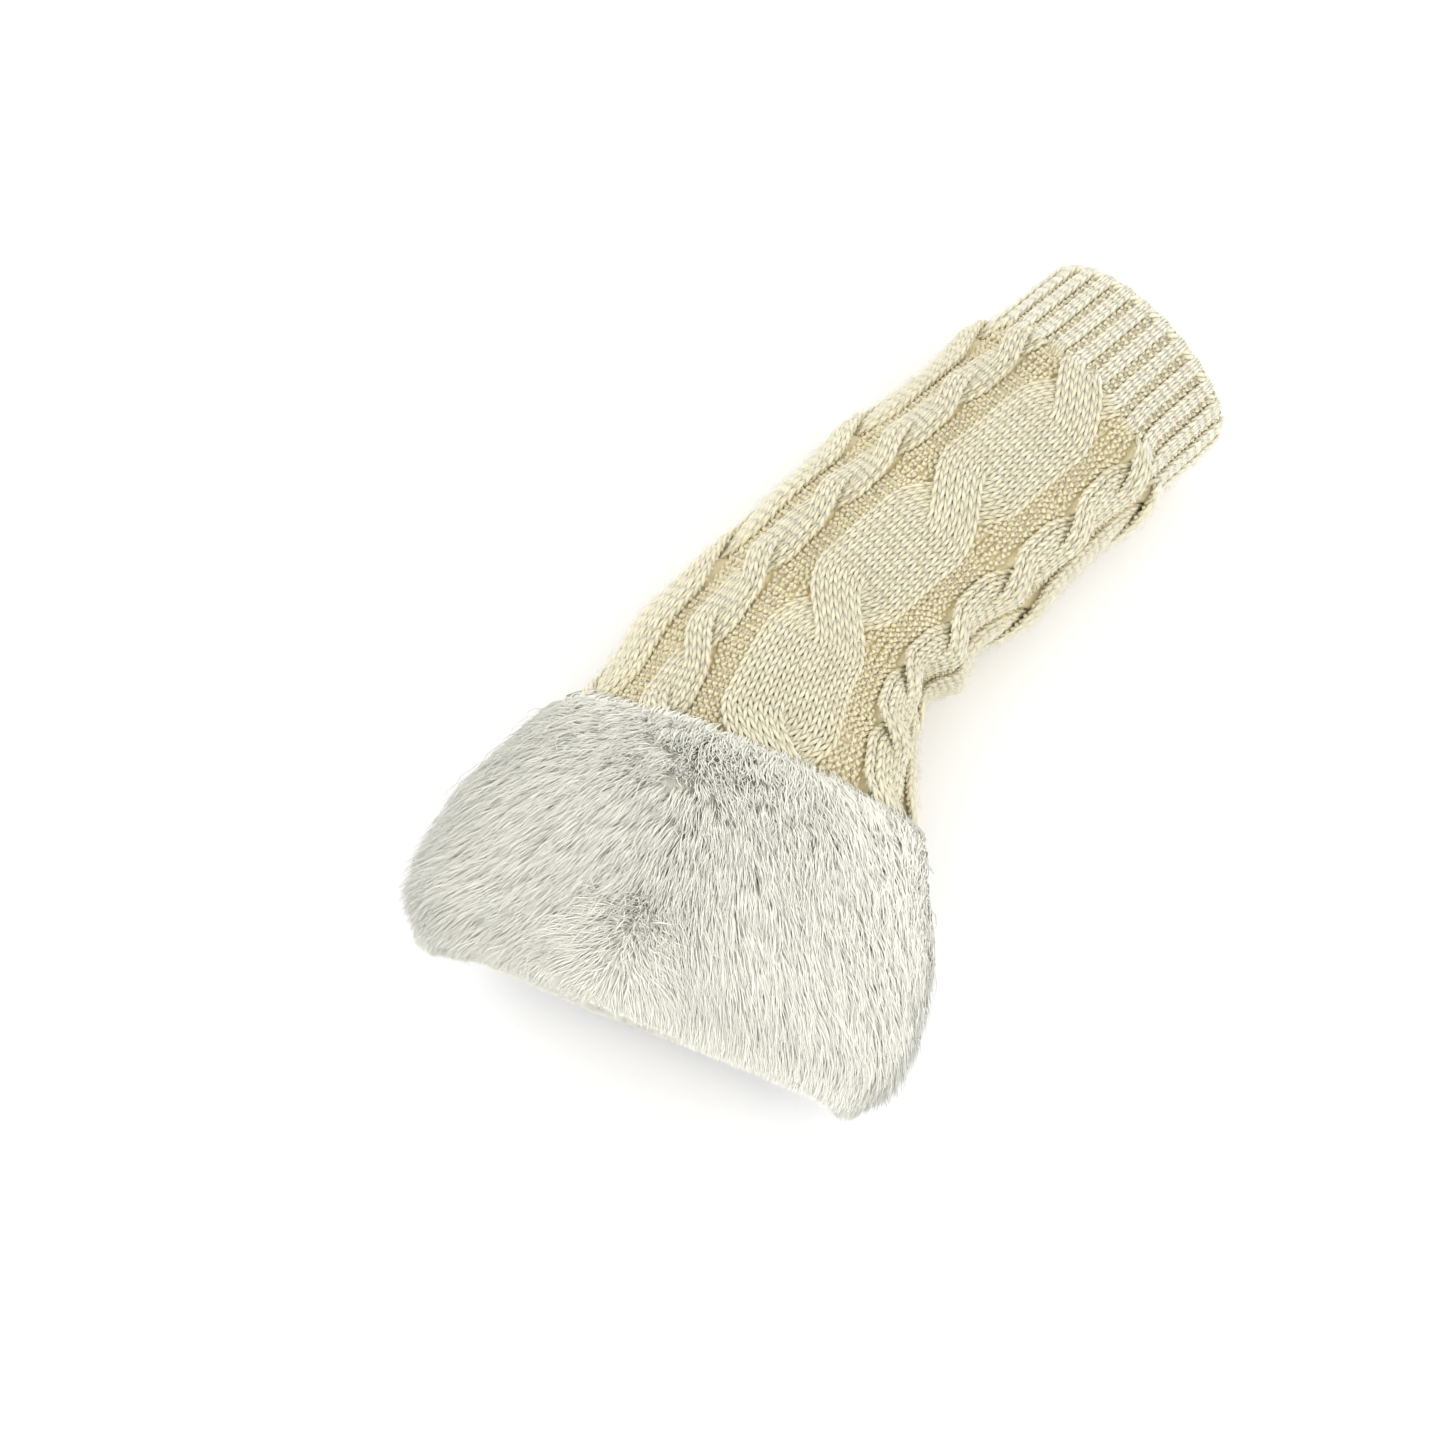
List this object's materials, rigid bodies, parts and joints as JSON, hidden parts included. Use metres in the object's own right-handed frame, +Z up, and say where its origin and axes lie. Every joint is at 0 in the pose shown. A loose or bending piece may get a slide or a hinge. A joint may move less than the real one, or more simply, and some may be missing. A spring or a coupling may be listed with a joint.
{
  "type": "fingerless glove",
  "caption": "Long fingerless glove: a cable-knit sleeve with a ribbed arm end and a deep faux-fur cuff round the hand.",
  "frame": {"origin": "centre of the footprint, on the surface that the glove lies on, palm down", "axes": "+Y along the forearm's centre line towards the arm opening; +Z up, out of the back of the hand; the fingers point towards -Y and bend off towards +X; the thumb side faces -X"},
  "size_m": [0.1316, 0.2372, 0.0776],
  "materials": {
    "knit_wool": "cream wool-blend yarn, cable knit",
    "rib_wool": "cream wool-blend yarn, two-by-two rib",
    "seam_yarn": "linked seam in the knit's yarn",
    "thread": "cream sewing thread",
    "label_tape": "blank woven tape",
    "backing_cloth": "knitted backing cloth",
    "lining_fleece": "short brushed fleece",
    "binding_tape": "folded knit binding",
    "fur": "long soft faux-fur pile"
  },
  "bodies": {
    "forearm": {"cast_on_edge": "rib_wool", "rib_cuff": "rib_wool", "forearm_knit": "knit_wool", "side_seam_forearm": "seam_yarn", "care_label": "label_tape", "label_stitches": "thread"},
    "wrist": {"wrist_knit": "knit_wool", "side_seam_wrist": "seam_yarn"},
    "hand": {"hand_knit": "knit_wool", "side_seam_hand": "seam_yarn", "join_stitches": "thread", "fur_backing": "backing_cloth", "cuff_lining": "lining_fleece", "thumb_binding": "binding_tape", "hem_stitches": "thread", "fur_pile": "fur"}
  },
  "joints": [
    {"name": "wrist_sideways_bend", "type": "hinge", "parent": "forearm", "child": "wrist", "pos_m": [-0.03311, 0.01463, 0.0258], "axis": [0, 0, 1], "range_deg": [-48, 7], "deforming": ["wrist_knit", "side_seam_wrist"]},
    {"name": "wrist_up_down_bend", "type": "hinge", "parent": "wrist", "child": "hand", "pos_m": [-0.02585, -0.01437, 0.0293], "axis": [0.924, 0.3824, 0], "range_deg": [-40, 40], "deforming": ["wrist_knit", "side_seam_wrist"]}
  ]
}
